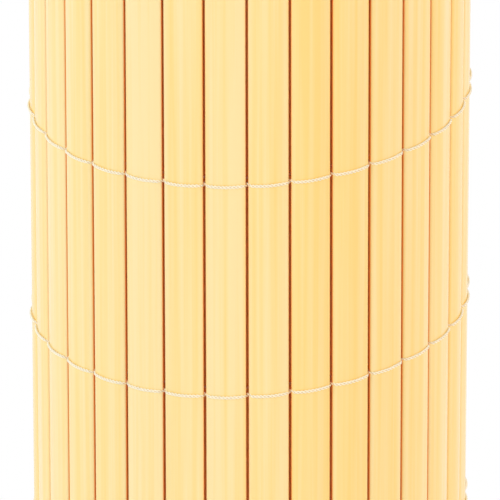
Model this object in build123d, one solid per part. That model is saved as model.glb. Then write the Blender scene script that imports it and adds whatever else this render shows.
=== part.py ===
from build123d import *
import os
from math import asin, cos, pi, radians, sin, sqrt, tan

# Rolled screening mat: hollow plastic slats laid side by side, tied by rows of twine and rolled up.
# The roll stands on the slats' ends with its axis along Z. Sizes are in millimetres and degrees.

# The slat, a flat oval tube whose crowned faces are drawn with three flats each
slat_width = 17.2
slat_thickness = 5.2
slat_edge = 2.0
slat_crown = 6.8
slat_wall = 0.7

# The mat, laid flat
mat_height = 1000.0
mat_length = 2900.0
slat_gap = 1.0

# The rows of twine
twine_diameter = 1.8
twine_spacing = 100.0
twine_margin = 50.0
twine_clearance = 0.1
twine_tilt = 2.5
rounding_allowance = 0.001

# The roll
core_radius = 25.0
turn_clearance = 0.8
front_gap_turn = 0.8

slat_pitch = slat_width + slat_gap
slat_count = round(mat_length / slat_pitch)
turn_pitch = slat_thickness + 2 * twine_diameter + turn_clearance
row_room = (mat_height - 2 * twine_margin) / twine_spacing
row_count = 1 + int(row_room + rounding_allowance)
row_heights = [twine_margin + row * twine_spacing for row in range(row_count)]


def spiral_radius(angle):
    """Radius of the mat's middle plane after winding through this angle from the core."""
    return core_radius + turn_pitch * angle / (2 * pi)


def next_joint(angle):
    """Winding angle of the joint that lies one slat pitch further along the spiral."""
    here = spiral_radius(angle)
    step = 0.0
    for _ in range(30):
        there = spiral_radius(angle + step)
        half_chord = sqrt(slat_pitch ** 2 - (there - here) ** 2) / 2
        step = 2 * asin(half_chord / sqrt(here * there))
    return angle + step


class Slat:
    """One slat's place in the roll: the middle, the run and the outward side between its joints."""

    def __init__(self, start, end):
        self.middle = (start + end) / 2
        self.run = (end - start).normalized()
        self.outward = Vector(self.run.Y, -self.run.X)

    def at(self, along, out):
        """Point at a distance along the slat's width and out from its middle plane."""
        return self.middle + self.run * along + self.outward * out


# The joints between slats, from the core to the free outer edge, which lies at the back of the roll
angles = [0.0]
for _ in range(slat_count):
    angles.append(next_joint(angles[-1]))
outer_joints = [index for index in range(1, slat_count) if angles[index] > angles[-1] - 2 * pi]
front_joint = min(outer_joints, key=lambda index: abs(angles[-1] - pi - angles[index]))
roll_turn = radians(front_gap_turn - 90) - angles[front_joint]


def joint_point(angle):
    """Joint in plan, with the roll turned so that one of its gaps faces the front."""
    radius = spiral_radius(angle)
    return Vector(radius * cos(angle + roll_turn), radius * sin(angle + roll_turn))


joints = [joint_point(angle) for angle in angles]
slats = [Slat(start, end) for start, end in zip(joints, joints[1:])]


def joint_outward(index):
    """Outward direction at a joint, midway between the slats that meet there."""
    before = slats[max(index - 1, 0)]
    after = slats[min(index, slat_count - 1)]
    return (before.outward + after.outward).normalized()


def offset_joint(index, distance):
    """Joint moved out to lie this distance from the middle planes of both its slats."""
    outward = joint_outward(index)
    lean = outward.dot(slats[min(index, slat_count - 1)].outward)
    return joints[index] + outward * (distance / lean)


def ridged_face(side):
    """Points along one face of the mat, a ridge on each slat: side is 1 outside and -1 inside."""
    points = [offset_joint(0, side * slat_edge / 2)]
    for index, slat in enumerate(slats):
        points.append(slat.at(-slat_crown / 2, side * slat_thickness / 2))
        points.append(slat.at(slat_crown / 2, side * slat_thickness / 2))
        points.append(offset_joint(index + 1, side * slat_edge / 2))
    return points


def hollow(slat):
    """Open middle of a slat, one wall inside its crowns and its edges."""
    side = slat_width / 2 - slat_wall
    crown = slat_thickness / 2 - slat_wall
    flat = slat_crown / 2
    corners = [(-side, 0), (-flat, crown), (flat, crown), (side, 0), (flat, -crown), (-flat, -crown)]
    return Wire.make_polygon([slat.at(along, out) for along, out in corners])


def twine_rise(point):
    """Height that the tilted rows of twine have gained at this point of the roll."""
    return point.X * tan(radians(twine_tilt))


def gap_cutters():
    """Slits between the slats of the outer turn, which stay joined only behind one row of twine."""
    bridge_height = row_heights[row_count // 2]
    cutters = []
    for index in outer_joints:
        slit = Plane(joints[index], x_dir=joint_outward(index)) * Rectangle(slat_thickness, slat_gap)
        bridge = bridge_height + twine_rise(joints[index])
        below = bridge - twine_diameter / 2
        above = mat_height - bridge - twine_diameter / 2
        cutters.append(extrude(slit, below))
        cutters.append(Pos(0, 0, mat_height - above) * extrude(slit, above))
    return cutters


def slat_mat():
    """The slats side by side as one rolled wall, with ridges, hollows and gaps."""
    outline = Wire.make_polygon(ridged_face(1) + ridged_face(-1)[::-1])
    section = Face(outline, [hollow(slat) for slat in slats])
    return extrude(section, mat_height, dir=(0, 0, 1)) - gap_cutters()


def twine_row(height):
    """Twine drawn tight across the slats of the outer turn, from where they come out from under its edge."""
    inside = slat_thickness / 2 + twine_clearance
    route = [outer_joints[0] - 1] + outer_joints + [slat_count]
    near = [offset_joint(index, inside) for index in route]
    far = [offset_joint(index, inside + twine_diameter) for index in route]
    base = height - twine_diameter / 2
    corners = [Vector(p.X, p.Y, base + twine_rise(p)) for p in near + far[::-1]]
    return extrude(Face(Wire.make_polygon(corners)), twine_diameter, dir=(0, 0, 1))


nodes = {"slat_mat": slat_mat()}
for row, height in enumerate(row_heights, start=1):
    nodes[f"twine_row_{row:02d}"] = twine_row(height)

# The origin is under the middle of the roll, on the surface that it stands on
box = Compound(list(nodes.values())).bounding_box()
stand = Pos(-box.center().X, -box.center().Y, 0)

os.makedirs("parts", exist_ok=True)
for name, shape in nodes.items():
    export_step(stand * shape, f"parts/{name}.step")
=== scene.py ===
import random
from math import asin, cos, pi, radians, sin, sqrt, tan

import bmesh
import bpy
from mathutils import Matrix, Vector
from mathutils.kdtree import KDTree


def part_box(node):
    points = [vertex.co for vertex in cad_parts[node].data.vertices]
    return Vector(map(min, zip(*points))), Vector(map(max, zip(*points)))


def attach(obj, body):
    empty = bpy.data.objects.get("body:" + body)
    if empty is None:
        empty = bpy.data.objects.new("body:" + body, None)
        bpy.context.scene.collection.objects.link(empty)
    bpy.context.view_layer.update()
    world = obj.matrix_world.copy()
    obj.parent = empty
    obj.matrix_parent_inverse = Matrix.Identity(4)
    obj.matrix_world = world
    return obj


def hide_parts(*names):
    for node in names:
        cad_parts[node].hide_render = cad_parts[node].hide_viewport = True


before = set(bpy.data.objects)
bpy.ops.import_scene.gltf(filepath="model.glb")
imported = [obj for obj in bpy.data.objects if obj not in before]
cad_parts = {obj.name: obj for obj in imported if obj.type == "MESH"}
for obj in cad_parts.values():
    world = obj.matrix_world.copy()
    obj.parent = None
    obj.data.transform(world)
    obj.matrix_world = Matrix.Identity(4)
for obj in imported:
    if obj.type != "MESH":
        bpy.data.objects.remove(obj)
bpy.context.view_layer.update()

# A roll of screening mat standing on its end: hollow plastic slats side by side, held by rows of twine that
# is twined round every slat. The frame gives the roll's place and height; lengths here are in metres.

tone_seed = 23398
draw = random.Random(tone_seed)
MM = 0.001
UP = Vector((0, 0, 1))
weld_distance = 0.001 * MM
corner_tolerance = 0.01 * MM

# The slat, a flat oval tube whose edges are rounded over most of their thickness
slat_width = 17.2 * MM
slat_thickness = 5.2 * MM
crown_radius = 22 * MM
edge_rounding_share = 0.92
slat_wall = 0.7 * MM
rim_rounding = 0.15 * MM
rim_angle_margin = radians(20)
slat_sharp_angle = radians(40)

# The roll, wound as the frame's is; the slats of the inner turns all but touch
slat_gap = 1.0 * MM
inner_slat_gap = 0.06 * MM
mat_length = 2900 * MM
core_radius = 25 * MM
turn_pitch = 9.6 * MM
front_gap_turn = radians(0.8)
joint_rounds = 30

# How the slats of the outer turn stray from their even places
bunching = 0.08 * MM
bunching_slats = 9.0
bunching_start = -2.25
sway = 0.5 * MM
sway_length = 900 * MM
sway_sharpness = 0.8
sway_turn = radians(6)

# The twine, whose twist is drawn a little coarser than a real one so that it shows
twine_tilt = radians(2.5)
strand_count = 2
strand_sides = 6
strand_radius = 0.38 * MM
flattening = 0.55
helix_radius = 0.4 * MM
strand_lay = 3.2 * MM
twist_step = 0.5 * MM
twine_sharp_angle = radians(80)
inner_cord_sides = 4
inner_cord_radius = 0.65 * MM
inner_cord_step = 3 * MM

# How a cord lies on the slats and dives between them, where it crosses the other cord of its row
cord_sink = 0.05 * MM
dive_start = 7.2 * MM
dive_sharpness = 1.6
crossing_rise = -0.5 * MM
crossing_squeeze = 0.4

# The knot at the end of each row, beside the free edge of the mat
knot_size = 1.9 * MM
knot_cord_radius = 0.5 * MM
knot_steps = 36
tail_length = 14 * MM
tail_unevenness = 0.2
tail_spread = 3 * MM
tail_steps = 4

# The patterns of the finishes, drawn as coarse as they need to be to show
streak_width = 3 * MM
streak_length = 250 * MM
streak_tone_share = 0.17
die_line_width = 0.8 * MM
die_line_length = 120 * MM
die_line_depth = 0.1 * MM
fibre_width = 0.5 * MM
fibre_depth = 0.1 * MM
paint_grain = 4 * MM

# The studio and the camera
floor_reach = 12
shadow_reach = 0.2
white_reach = 0.6
world_strength = 0.62
light_bounces = 64
camera_place = (0, -3.8994, 2.4193)
camera_tilt = radians(63.46)
camera_sensor = 36
camera_lens = 722.5
camera_reach = 100

slat_pitch = slat_width + slat_gap
slat_count = round(mat_length / slat_pitch)
cord_radius = helix_radius * flattening + strand_radius
cord_reach = helix_radius + strand_radius
mat_low, mat_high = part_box("slat_mat")
mat_height = mat_high.z - mat_low.z
twine_nodes = sorted(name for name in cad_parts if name.startswith("twine_row_"))


def row_height(node):
    """Height of a row of twine where it crosses the middle of the roll."""
    low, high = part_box(node)
    return (low.z + high.z) / 2


def spiral_radius(angle):
    """Radius of the mat's middle plane after winding through this angle from the core."""
    return core_radius + turn_pitch * angle / (2 * pi)


def next_joint(angle):
    """Winding angle of the joint that lies one slat pitch further along the spiral."""
    here = spiral_radius(angle)
    step = 0.0
    for _ in range(joint_rounds):
        there = spiral_radius(angle + step)
        half_chord = sqrt(slat_pitch ** 2 - (there - here) ** 2) / 2
        step = 2 * asin(half_chord / sqrt(here * there))
    return angle + step


# The joints between slats, from the core to the free outer edge, with one of them turned to the front
angles = [0.0]
for _ in range(slat_count):
    angles.append(next_joint(angles[-1]))
outer_joints = [index for index in range(1, slat_count) if angles[index] > angles[-1] - 2 * pi]
front_joint = min(outer_joints, key=lambda index: abs(angles[-1] - pi - angles[index]))
roll_turn = front_gap_turn - pi / 2 - angles[front_joint]
first_outer_slat = outer_joints[0] - 1


def joint_point(angle):
    """Joint in plan, measured from the spiral's own middle."""
    radius = spiral_radius(angle)
    return Vector((radius * cos(angle + roll_turn), radius * sin(angle + roll_turn), 0))


class Slat:
    """One slat's place in the roll, with its drift along the roll at any height."""

    def __init__(self, number, start, end):
        self.number = number
        self.middle = (start + end) / 2
        self.run = (end - start).normalized()
        self.outward = self.run.cross(UP)
        self.tone = draw.uniform(-1, 1)
        slats_from_front = number - front_joint + 0.5
        turn = slats_from_front * 2 * pi / len(outer_joints)
        wave = sin(2 * pi * (slats_from_front - bunching_start) / bunching_slats)
        self.is_outer = number >= first_outer_slat
        self.bunch = -bunching * wave if self.is_outer else 0.0
        self.lean = min(1.0, max(0.0, 0.5 + sway_sharpness * sin(turn + sway_turn)))

    def drift(self, height):
        """Distance along the run that the slat has strayed at this height."""
        if not self.is_outer:
            return 0.0
        bend = sin(2 * pi * (mat_height / 2 - height) / sway_length)
        return self.bunch + sway * self.lean * bend

    def at(self, along, out, height):
        """Point at a distance along the slat's width and out from its middle plane."""
        place = self.middle + self.run * (along + self.drift(height)) + self.outward * out
        return Vector((place.x, place.y, height))


joints = [joint_point(angle) for angle in angles]
slats = [Slat(number, start, end) for number, (start, end) in enumerate(zip(joints, joints[1:]))]

# The spiral's middle lies where the box of its crowns matches the box of the frame's mat
crowns = [slat.middle + slat.outward * slat_thickness / 2 for slat in slats]
spiral_middle = Vector((
    (mat_low.x + mat_high.x - min(p.x for p in crowns) - max(p.x for p in crowns)) / 2,
    (mat_low.y + mat_high.y - min(p.y for p in crowns) - max(p.y for p in crowns)) / 2,
    0))
for slat in slats:
    slat.middle += spiral_middle


def finish_piece(bm, name, material, sharp_angle):
    """Makes a mesh object of the bmesh, smooth but for the edges sharper than the angle."""
    for face in bm.faces:
        face.smooth = True
    for edge in bm.edges:
        edge.smooth = edge.is_manifold and edge.calc_face_angle() < sharp_angle
    mesh = bpy.data.meshes.new(name)
    bm.to_mesh(mesh)
    bm.free()
    mesh.materials.append(material)
    piece = bpy.data.objects.new(name, mesh)
    bpy.context.scene.collection.objects.link(piece)
    return piece


def slat_crown(across):
    """Height of a slat's face above its middle plane."""
    return slat_thickness / 2 - across ** 2 / (2 * crown_radius)


def slat_prototype(width, across_segments, edge_segments, height_segments, rounded_rim):
    """One hollow slat standing on its end at the origin: x across it, y out of the roll, z along it."""
    bm = bmesh.new()
    bmesh.ops.create_grid(bm, x_segments=across_segments, y_segments=1, size=0.5)
    bmesh.ops.scale(bm, vec=(width, slat_thickness, 1), verts=bm.verts)
    for vert in bm.verts:
        vert.co.y = slat_crown(vert.co.x) * (1 if vert.co.y > 0 else -1)
    corners = [vert for vert in bm.verts if abs(vert.co.x) > width / 2 - corner_tolerance]
    bmesh.ops.bevel(bm, geom=corners, offset=edge_rounding_share * slat_crown(width / 2),
                    segments=edge_segments, profile=0.5, affect="VERTICES", material=-1)
    outline = bm.faces[:]
    bmesh.ops.inset_region(bm, faces=outline, thickness=slat_wall, use_boundary=True, use_even_offset=True)
    bmesh.ops.delete(bm, geom=outline, context="FACES")
    top = bmesh.ops.extrude_face_region(bm, geom=bm.faces[:])["geom"]
    lifted = [part for part in top if isinstance(part, bmesh.types.BMVert)]
    bmesh.ops.translate(bm, vec=UP * mat_height, verts=lifted)
    bmesh.ops.recalc_face_normals(bm, faces=bm.faces)
    if bm.calc_volume(signed=True) < 0:
        bmesh.ops.reverse_faces(bm, faces=bm.faces)
    if rounded_rim:
        rims = [edge for edge in bm.edges if abs(edge.calc_face_angle() - pi / 2) < rim_angle_margin
                and edge.verts[0].co.z == edge.verts[1].co.z]
        bmesh.ops.bevel(bm, geom=rims, offset=rim_rounding, segments=1, profile=0.5, affect="EDGES",
                        material=-1)
    for level in range(1, height_segments):
        bmesh.ops.bisect_plane(bm, geom=bm.verts[:] + bm.edges[:] + bm.faces[:], dist=weld_distance,
                               plane_co=UP * mat_height * level / height_segments, plane_no=UP)
    across = bm.verts.layers.float.new("across")
    for vert in bm.verts:
        vert[across] = -vert.co.x / (width / 2)
    bm.verts.layers.float.new("tone")
    mesh = bpy.data.meshes.new("slat_prototype")
    bm.to_mesh(mesh)
    bm.free()
    return mesh


def stand_slats(name, members, prototype, material):
    """Copies of the prototype, standing where these slats of the roll do."""
    bm = bmesh.new()
    for slat in members:
        start = len(bm.verts)
        bm.from_mesh(prototype)
        bm.verts.ensure_lookup_table()
        copied = bm.verts[start:]
        tone = bm.verts.layers.float["tone"]
        turned = Matrix((-slat.run, slat.outward, UP)).transposed()
        for vert in copied:
            vert[tone] = slat.tone
            vert.co.x -= slat.drift(vert.co.z)
        bmesh.ops.transform(bm, matrix=Matrix.Translation(slat.middle) @ turned.to_4x4(), verts=copied)
    bpy.data.meshes.remove(prototype)
    piece = finish_piece(bm, name, material, slat_sharp_angle)
    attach(piece, "root")
    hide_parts("slat_mat")


def row_ends(members, height):
    """Middles of the gaps between these slats at this height, and the outer edges of the first and last."""
    first_edge = members[0].at(-slat_pitch / 2, 0, height)
    last_edge = members[-1].at(slat_pitch / 2, 0, height)
    gaps = []
    for before, after in zip(members, members[1:]):
        gaps.append((before.at(slat_pitch / 2, 0, height) + after.at(-slat_pitch / 2, 0, height)) / 2)
    return [first_edge] + gaps + [last_edge]


def cord_route(members, height, front_slats, spacing):
    """Points of one cord of a row, with the outward side and the room for it at each.

    The cord goes in front of every other slat, as front_slats says, and behind the rest."""
    points = []
    ends = row_ends(members, height)
    for slat, start, end in zip(members, ends, ends[1:]):
        side = 1 if slat.number % 2 == front_slats else -1
        steps = round((end - start).length / spacing)
        last_step = 1 if slat is members[-1] else 0
        for step in range(steps + last_step):
            share = step / steps
            place = start.lerp(end, share)
            along = (share - 0.5) * (end - start).length
            dive = max(0.0, (abs(along) - dive_start) / (slat_pitch / 2 - dive_start))
            lift = (slat_crown(along) + cord_radius - cord_sink) * (1 - min(dive, 1) ** dive_sharpness)
            place = place + slat.outward * side * lift
            weave = crossing_rise * side * (2 * share - 1) * dive
            place.z = height + tan(twine_tilt) * place.x + weave
            points.append((place, slat.outward, 1 - crossing_squeeze * dive))
    return points


def cord_curve(name, sides, radius):
    """Empty curve with a round section of this many sides, whose points scale the radius."""
    curve = bpy.data.curves.new(name, "CURVE")
    curve.dimensions = "3D"
    curve.bevel_mode = "ROUND"
    curve.bevel_resolution = (sides - 4) // 2
    curve.bevel_depth = radius
    curve.use_fill_caps = True
    return curve


def lay_spline(curve, points, radii, closed=False):
    """Adds one line of the curve through these points."""
    spline = curve.splines.new("POLY")
    spline.points.add(len(points) - 1)
    spline.use_cyclic_u = closed
    for target, point, radius in zip(spline.points, points, radii):
        target.co = (*point, 1)
        target.radius = radius


def twist_strands(curve, route):
    """Lays strands round the route as a rope's are, each a helix that the next one follows."""
    places = [place for place, _, _ in route]
    lines = [[] for _ in range(strand_count)]
    length = 0.0
    for index, (place, outward, room) in enumerate(route):
        tangent = (places[min(index + 1, len(places) - 1)] - places[max(index - 1, 0)]).normalized()
        second = tangent.cross(outward).normalized()
        first = second.cross(tangent)
        if index:
            length += (place - places[index - 1]).length
        for strand, line in enumerate(lines):
            turn = 2 * pi * (length / strand_lay + strand / strand_count)
            line.append(place + (first * cos(turn) * flattening + second * sin(turn)) * helix_radius * room)
    for line in lines:
        lay_spline(curve, line, [strand_radius * room for _, _, room in route])


def tie_off(curve, slat, height):
    """Ties a row's two cords in a knot beside the mat's free edge, with two cut tails that hang from it."""
    knot = slat.at(slat_pitch / 2 + knot_size, 0, height)
    knot.z += tan(twine_tilt) * knot.x
    trefoil = []
    for step in range(knot_steps):
        turn = 2 * pi * step / knot_steps
        along = sin(turn) + 2 * sin(2 * turn)
        rise = cos(turn) - 2 * cos(2 * turn)
        trefoil.append(knot + (slat.run * along + UP * rise - slat.outward * sin(3 * turn)) * knot_size / 3)
    lay_spline(curve, trefoil, [knot_cord_radius] * len(trefoil), closed=True)
    for side in (-1, 1):
        tail = [knot + slat.run * side * knot_cord_radius]
        for step in range(1, tail_steps + 1):
            share = step / tail_steps
            hang = knot - UP * tail_length * share * (1 - tail_unevenness * side)
            tail.append(hang + slat.outward * side * tail_spread * sqrt(share))
        lay_spline(curve, tail, [knot_cord_radius] * len(tail))


def tube_mesh(curve):
    """Bmesh of the curve's tubes, with their caps welded on; the curve is used up."""
    holder = bpy.data.objects.new(curve.name, curve)
    bpy.context.scene.collection.objects.link(holder)
    mesh = bpy.data.meshes.new_from_object(holder.evaluated_get(bpy.context.evaluated_depsgraph_get()))
    bpy.data.objects.remove(holder)
    bpy.data.curves.remove(curve)
    bm = bmesh.new()
    bm.from_mesh(mesh)
    bpy.data.meshes.remove(mesh)
    bmesh.ops.remove_doubles(bm, verts=bm.verts, dist=weld_distance)
    return bm


def mark_grooves(bm, middles):
    """Marks how deep each point lies in the twist of a cord, from 0 outside to 1 at the cord's middle."""
    tree = KDTree(len(middles))
    for index, middle in enumerate(middles):
        tree.insert(middle, index)
    tree.balance()
    groove = bm.verts.layers.float.new("groove")
    for vert in bm.verts:
        _, _, distance = tree.find(vert.co)
        vert[groove] = max(0.0, 1 - distance / cord_reach)


def ride_as_twine(piece):
    """Lets a piece of twine ride on the roll."""
    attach(piece, "root")


def hex_colour(text):
    """Linear colour of an sRGB hex value."""
    channels = [int(text[place:place + 2], 16) / 255 for place in (1, 3, 5)]
    linear = [c / 12.92 if c <= 0.04045 else ((c + 0.055) / 1.055) ** 2.4 for c in channels]
    return (*linear, 1)


def add_node(tree, kind, inputs, **settings):
    """Adds a node with these settings, whose inputs are given values or linked to sockets."""
    node = tree.nodes.new("ShaderNode" + kind)
    for name, value in settings.items():
        setattr(node, name, value)
    for name, value in inputs.items():
        if isinstance(value, bpy.types.NodeSocket):
            tree.links.new(value, node.inputs[name])
        else:
            node.inputs[name].default_value = value
    return node


def new_material(name):
    """Empty node material and its tree."""
    material = bpy.data.materials.new(name)
    material.use_nodes = True
    material.node_tree.nodes.clear()
    return material, material.node_tree


def extruded_pvc():
    """Extruded cream PVC: drawn through a die, which gives the eye a satin face with soft streaks and fine
    lines along the slat. Each slat has a tone of its own. Its edges are painted burnt orange as painted
    shade, standing in for the light that bounces between neighbouring slats in the gaps."""
    material, tree = new_material("extruded_cream_pvc")
    place = add_node(tree, "TexCoord", {}).outputs["Object"]
    tone = add_node(tree, "Attribute", {}, attribute_name="tone").outputs["Fac"]
    across = add_node(tree, "Attribute", {}, attribute_name="across").outputs["Fac"]
    streak_scale = (1 / streak_width, 1 / streak_width, 1 / streak_length)
    drawn = add_node(tree, "Mapping", {"Vector": place, "Scale": streak_scale}).outputs[0]
    streaks = add_node(tree, "TexNoise", {"Vector": drawn, "Scale": 1.0, "Detail": 3.0}).outputs["Fac"]
    blend = add_node(tree, "Math", {0: tone, 1: streak_tone_share, 2: streaks}, operation="MULTIPLY_ADD")
    shade = add_node(tree, "MapRange", {"Value": blend.outputs[0], "From Min": 0.29, "From Max": 0.71})
    face = add_node(tree, "Mix", {
        0: shade.outputs[0], 6: hex_colour("#ffeaac"), 7: hex_colour("#ffe089")}, data_type="RGBA")
    # Painted shade: the outermost edges of each slat are painted burnt orange for the light bounced between
    # slats in the gaps
    from_middle = add_node(tree, "Math", {0: across}, operation="ABSOLUTE").outputs[0]
    edge = add_node(tree, "MapRange", {"Value": from_middle, "From Min": 0.985, "From Max": 1.0})
    colour = add_node(tree, "Mix", {
        0: edge.outputs[0], 6: face.outputs[2], 7: hex_colour("#ffa050")}, data_type="RGBA")
    die_line_scale = (1 / die_line_width, 1 / die_line_width, 1 / die_line_length)
    lines = add_node(tree, "Mapping", {"Vector": place, "Scale": die_line_scale}).outputs[0]
    ridges = add_node(tree, "TexNoise", {"Vector": lines, "Scale": 1.0, "Detail": 2.0}).outputs["Fac"]
    bump = add_node(tree, "Bump", {"Height": ridges, "Strength": 0.12, "Distance": die_line_depth})
    gloss = add_node(tree, "MapRange", {"Value": streaks, "To Min": 0.18, "To Max": 0.3})
    surface = add_node(tree, "BsdfPrincipled", {
        "Base Color": colour.outputs[2], "Roughness": gloss.outputs[0], "IOR": 1.53,
        "Normal": bump.outputs[0]})
    add_node(tree, "OutputMaterial", {"Surface": surface.outputs[0]})
    return material


def spun_twine():
    """Spun synthetic twine: fibres twisted to strands and strands to cord, which gives the eye a dull
    off-white with fine fibres. The grooves of the twist are painted darker, as painted shade."""
    material, tree = new_material("spun_synthetic_twine")
    place = add_node(tree, "TexCoord", {}).outputs["Object"]
    groove = add_node(tree, "Attribute", {}, attribute_name="groove").outputs["Fac"]
    fibres = add_node(tree, "TexNoise", {"Vector": place, "Scale": 1 / fibre_width, "Detail": 4.0})
    yarn = add_node(tree, "Mix", {
        0: fibres.outputs["Fac"], 6: hex_colour("#fff9d6"), 7: hex_colour("#fffff0")}, data_type="RGBA")
    # Painted shade: the deeper a point lies in the twist's grooves, the more it is painted tan
    painted_groove_shade = add_node(tree, "MapRange", {"Value": groove, "From Min": 0.4, "From Max": 0.8})
    colour = add_node(tree, "Mix", {
        0: painted_groove_shade.outputs[0], 6: yarn.outputs[2], 7: hex_colour("#e0a848")}, data_type="RGBA")
    bump = add_node(tree, "Bump", {
        "Height": fibres.outputs["Fac"], "Strength": 0.4, "Distance": fibre_depth})
    surface = add_node(tree, "BsdfPrincipled", {
        "Base Color": colour.outputs[2], "Roughness": 0.7, "Sheen Weight": 0.2, "Normal": bump.outputs[0]})
    add_node(tree, "OutputMaterial", {"Surface": surface.outputs[0]})
    return material


def seen_directly(tree):
    """Socket that is 1 for rays that show the surroundings to the eye, and 0 for the light they give."""
    path = add_node(tree, "LightPath", {})
    shiny = add_node(tree, "Math", {0: path.outputs["Is Camera Ray"], 1: path.outputs["Is Glossy Ray"]},
                     operation="MAXIMUM")
    return add_node(tree, "Math", {0: shiny.outputs[0], 1: path.outputs["Is Transmission Ray"]},
                    operation="MAXIMUM").outputs[0]


def matt_studio_paint():
    """Matt white studio paint, rolled on: holds the roll's shadow and goes to plain white further off."""
    material, tree = new_material("matt_studio_paint")
    place = add_node(tree, "TexCoord", {}).outputs["Object"]
    distance = add_node(tree, "VectorMath", {0: place}, operation="LENGTH").outputs["Value"]
    far = add_node(tree, "MapRange", {"Value": distance, "From Min": shadow_reach, "From Max": white_reach})
    grain = add_node(tree, "TexNoise", {"Vector": place, "Scale": 1 / paint_grain, "Detail": 2.0})
    paint = add_node(tree, "Mix", {
        0: grain.outputs["Fac"], 6: hex_colour("#f4f3f0"), 7: hex_colour("#fbfaf8")}, data_type="RGBA")
    matt = add_node(tree, "BsdfPrincipled", {"Base Color": paint.outputs[2], "Roughness": 0.9})
    white = add_node(tree, "Emission", {"Color": (1, 1, 1, 1), "Strength": 1.0})
    share = add_node(tree, "Math", {0: far.outputs[0], 1: seen_directly(tree)}, operation="MULTIPLY")
    mixed = add_node(tree, "MixShader", {0: share.outputs[0], 1: matt.outputs[0], 2: white.outputs[0]})
    add_node(tree, "OutputMaterial", {"Surface": mixed.outputs[0]})
    return material


def light_world(strength):
    """White surroundings that are plain white to the eye and light the roll at this strength."""
    world = bpy.data.worlds.new("white_studio")
    world.use_nodes = True
    tree = world.node_tree
    tree.nodes.clear()
    level = add_node(tree, "MapRange", {"Value": seen_directly(tree), "To Min": strength, "To Max": 1.0})
    white = add_node(tree, "Background", {"Color": (1, 1, 1, 1), "Strength": level.outputs[0]})
    add_node(tree, "OutputWorld", {"Surface": white.outputs[0]})
    bpy.context.scene.world = world


def add_soft_light(name, place, target, size, power, colour):
    """Square soft light at a place, facing the target."""
    light = bpy.data.lights.new(name, "AREA")
    light.size = size
    light.energy = power
    light.color = colour
    holder = bpy.data.objects.new(name, light)
    facing = (target - place).to_track_quat("-Z", "Y").to_matrix().to_4x4()
    holder.matrix_world = Matrix.Translation(place) @ facing
    bpy.context.scene.collection.objects.link(holder)


# The slats: those of the outer turn are fine enough to bend, and those inside it are plainer
pvc = extruded_pvc()
outer_slats = slats[first_outer_slat:]
inner_slats = slats[:first_outer_slat]
outer_prototype = slat_prototype(
    slat_width, across_segments=10, edge_segments=4, height_segments=16, rounded_rim=True)
stand_slats("slats_outer_turn", outer_slats, outer_prototype, pvc)
inner_prototype = slat_prototype(
    slat_pitch - inner_slat_gap, across_segments=4, edge_segments=2, height_segments=1, rounded_rim=False)
stand_slats("slats_inner_turns", inner_slats, inner_prototype, pvc)

# The rows of twine on the outer turn, and the plainer twine of the turns inside it
twine = spun_twine()
inner_curve = cord_curve("twine_inner_turns", inner_cord_sides, inner_cord_radius)
for node in twine_nodes:
    height = row_height(node)
    name = node.replace("row", "weave")
    curve = cord_curve(name, strand_sides, 1.0)
    middles = []
    for front_slats in (0, 1):
        route = cord_route(outer_slats, height, front_slats, twist_step)
        middles += [place for place, _, _ in route]
        twist_strands(curve, route)
        inner_route = cord_route(inner_slats, height, front_slats, inner_cord_step)
        lay_spline(inner_curve, [place for place, _, _ in inner_route], [room for _, _, room in inner_route])
    tie_off(curve, slats[-1], height)
    tubes = tube_mesh(curve)
    mark_grooves(tubes, middles)
    weave = finish_piece(tubes, name, twine, twine_sharp_angle)
    ride_as_twine(weave)
    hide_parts(node)
ride_as_twine(finish_piece(tube_mesh(inner_curve), "twine_inner_turns", twine, twine_sharp_angle))

# The floor
bm = bmesh.new()
bmesh.ops.create_grid(bm, x_segments=1, y_segments=1, size=floor_reach)
floor = finish_piece(bm, "studio_floor", matt_studio_paint(), pi)

# The light: white surroundings, a soft light from the left, a warm one from the right, two cool ones behind
light_world(world_strength)
middle = Vector((0, 0, mat_height / 2))
add_soft_light("key_light", Vector((-2.2, -1.9, 2.0)), middle, size=1.6, power=31, colour=(1, 0.98, 1))
add_soft_light("fill_light", Vector((2.4, -1.6, 1.3)), middle, size=1.8, power=24, colour=(1, 0.68, 0.42))
add_soft_light("left_rim_light", Vector((-2.4, 1.2, 1.2)), middle, size=1.6, power=11.5,
               colour=(0.76, 0.7, 1))
add_soft_light("right_rim_light", Vector((2.4, 1.2, 1.2)), middle, size=1.6, power=13,
               colour=(0.72, 0.66, 1))

# The camera looks down on the middle of the roll from the front, through a long lens
camera_data = bpy.data.cameras.new("camera")
camera_data.sensor_width = camera_sensor
camera_data.lens = camera_lens
camera_data.clip_end = camera_reach
camera = bpy.data.objects.new("camera", camera_data)
camera.matrix_world = Matrix.Translation(camera_place) @ Matrix.Rotation(camera_tilt, 4, "X")
bpy.context.scene.collection.objects.link(camera)
bpy.context.scene.camera = camera
bpy.context.scene.view_settings.view_transform = "Standard"

# Light reaches the bottom of the gaps only after many bounces between the turns, which make it burnt orange
bpy.context.scene.cycles.diffuse_bounces = light_bounces
bpy.context.scene.cycles.glossy_bounces = light_bounces
bpy.context.scene.cycles.max_bounces = light_bounces
